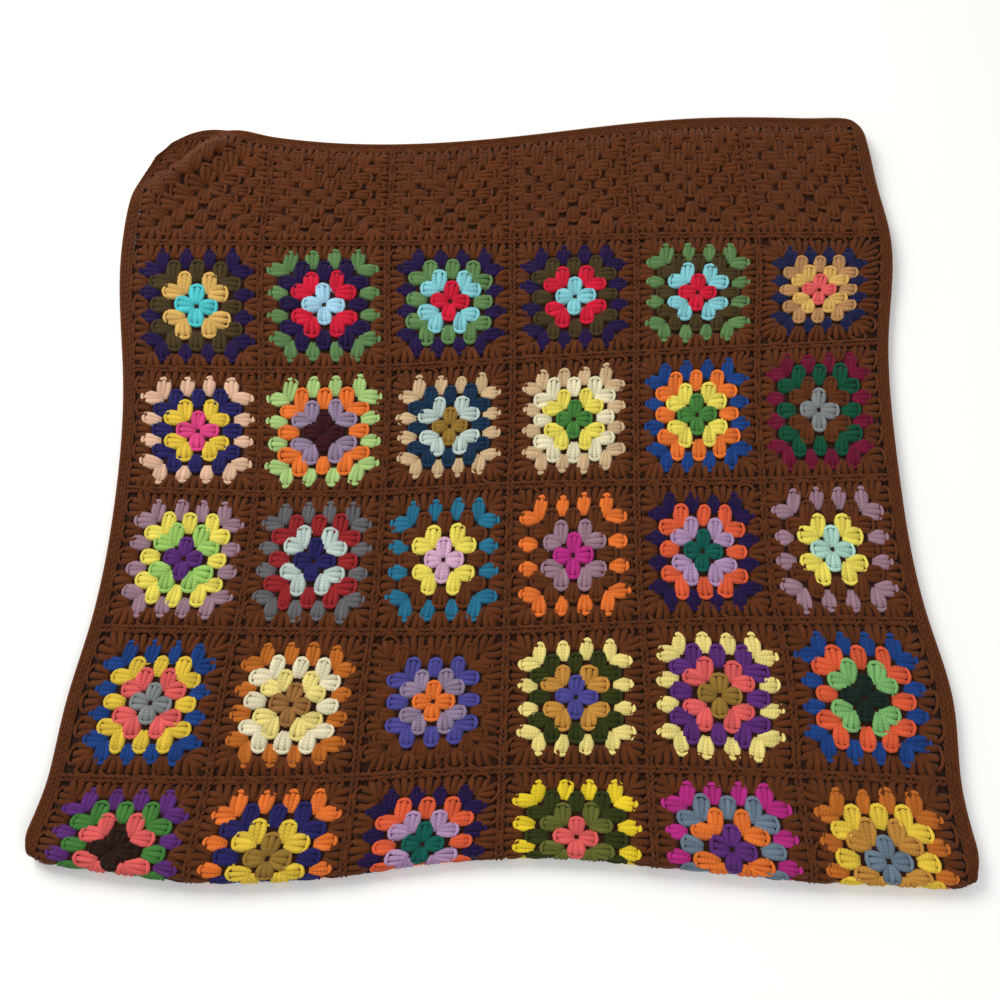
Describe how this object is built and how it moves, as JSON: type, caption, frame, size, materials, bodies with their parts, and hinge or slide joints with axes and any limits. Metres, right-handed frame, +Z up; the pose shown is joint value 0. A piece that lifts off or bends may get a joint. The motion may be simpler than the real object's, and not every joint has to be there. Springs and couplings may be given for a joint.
{
  "type": "granny square blanket",
  "caption": "Crocheted granny square blanket in mixed colours joined with brown, folded once across and laid flat.",
  "frame": {"origin": "on the floor under the middle of the folded blanket", "axes": "+Z up off the floor, +Y from the folded edge at the front towards the open edges at the back, +X from the left side to the right side"},
  "size_m": [0.8304, 0.811, 0.0276],
  "materials": {
    "crochet_squares": "soft worsted yarn, double crochet, brown ground with mixed colours",
    "crochet_band": "soft worsted yarn, dense ribbed crochet, brown"
  },
  "bodies": {
    "root": {"joined_squares": "crochet_squares", "crochet_band": "crochet_band"}
  },
  "joints": []
}
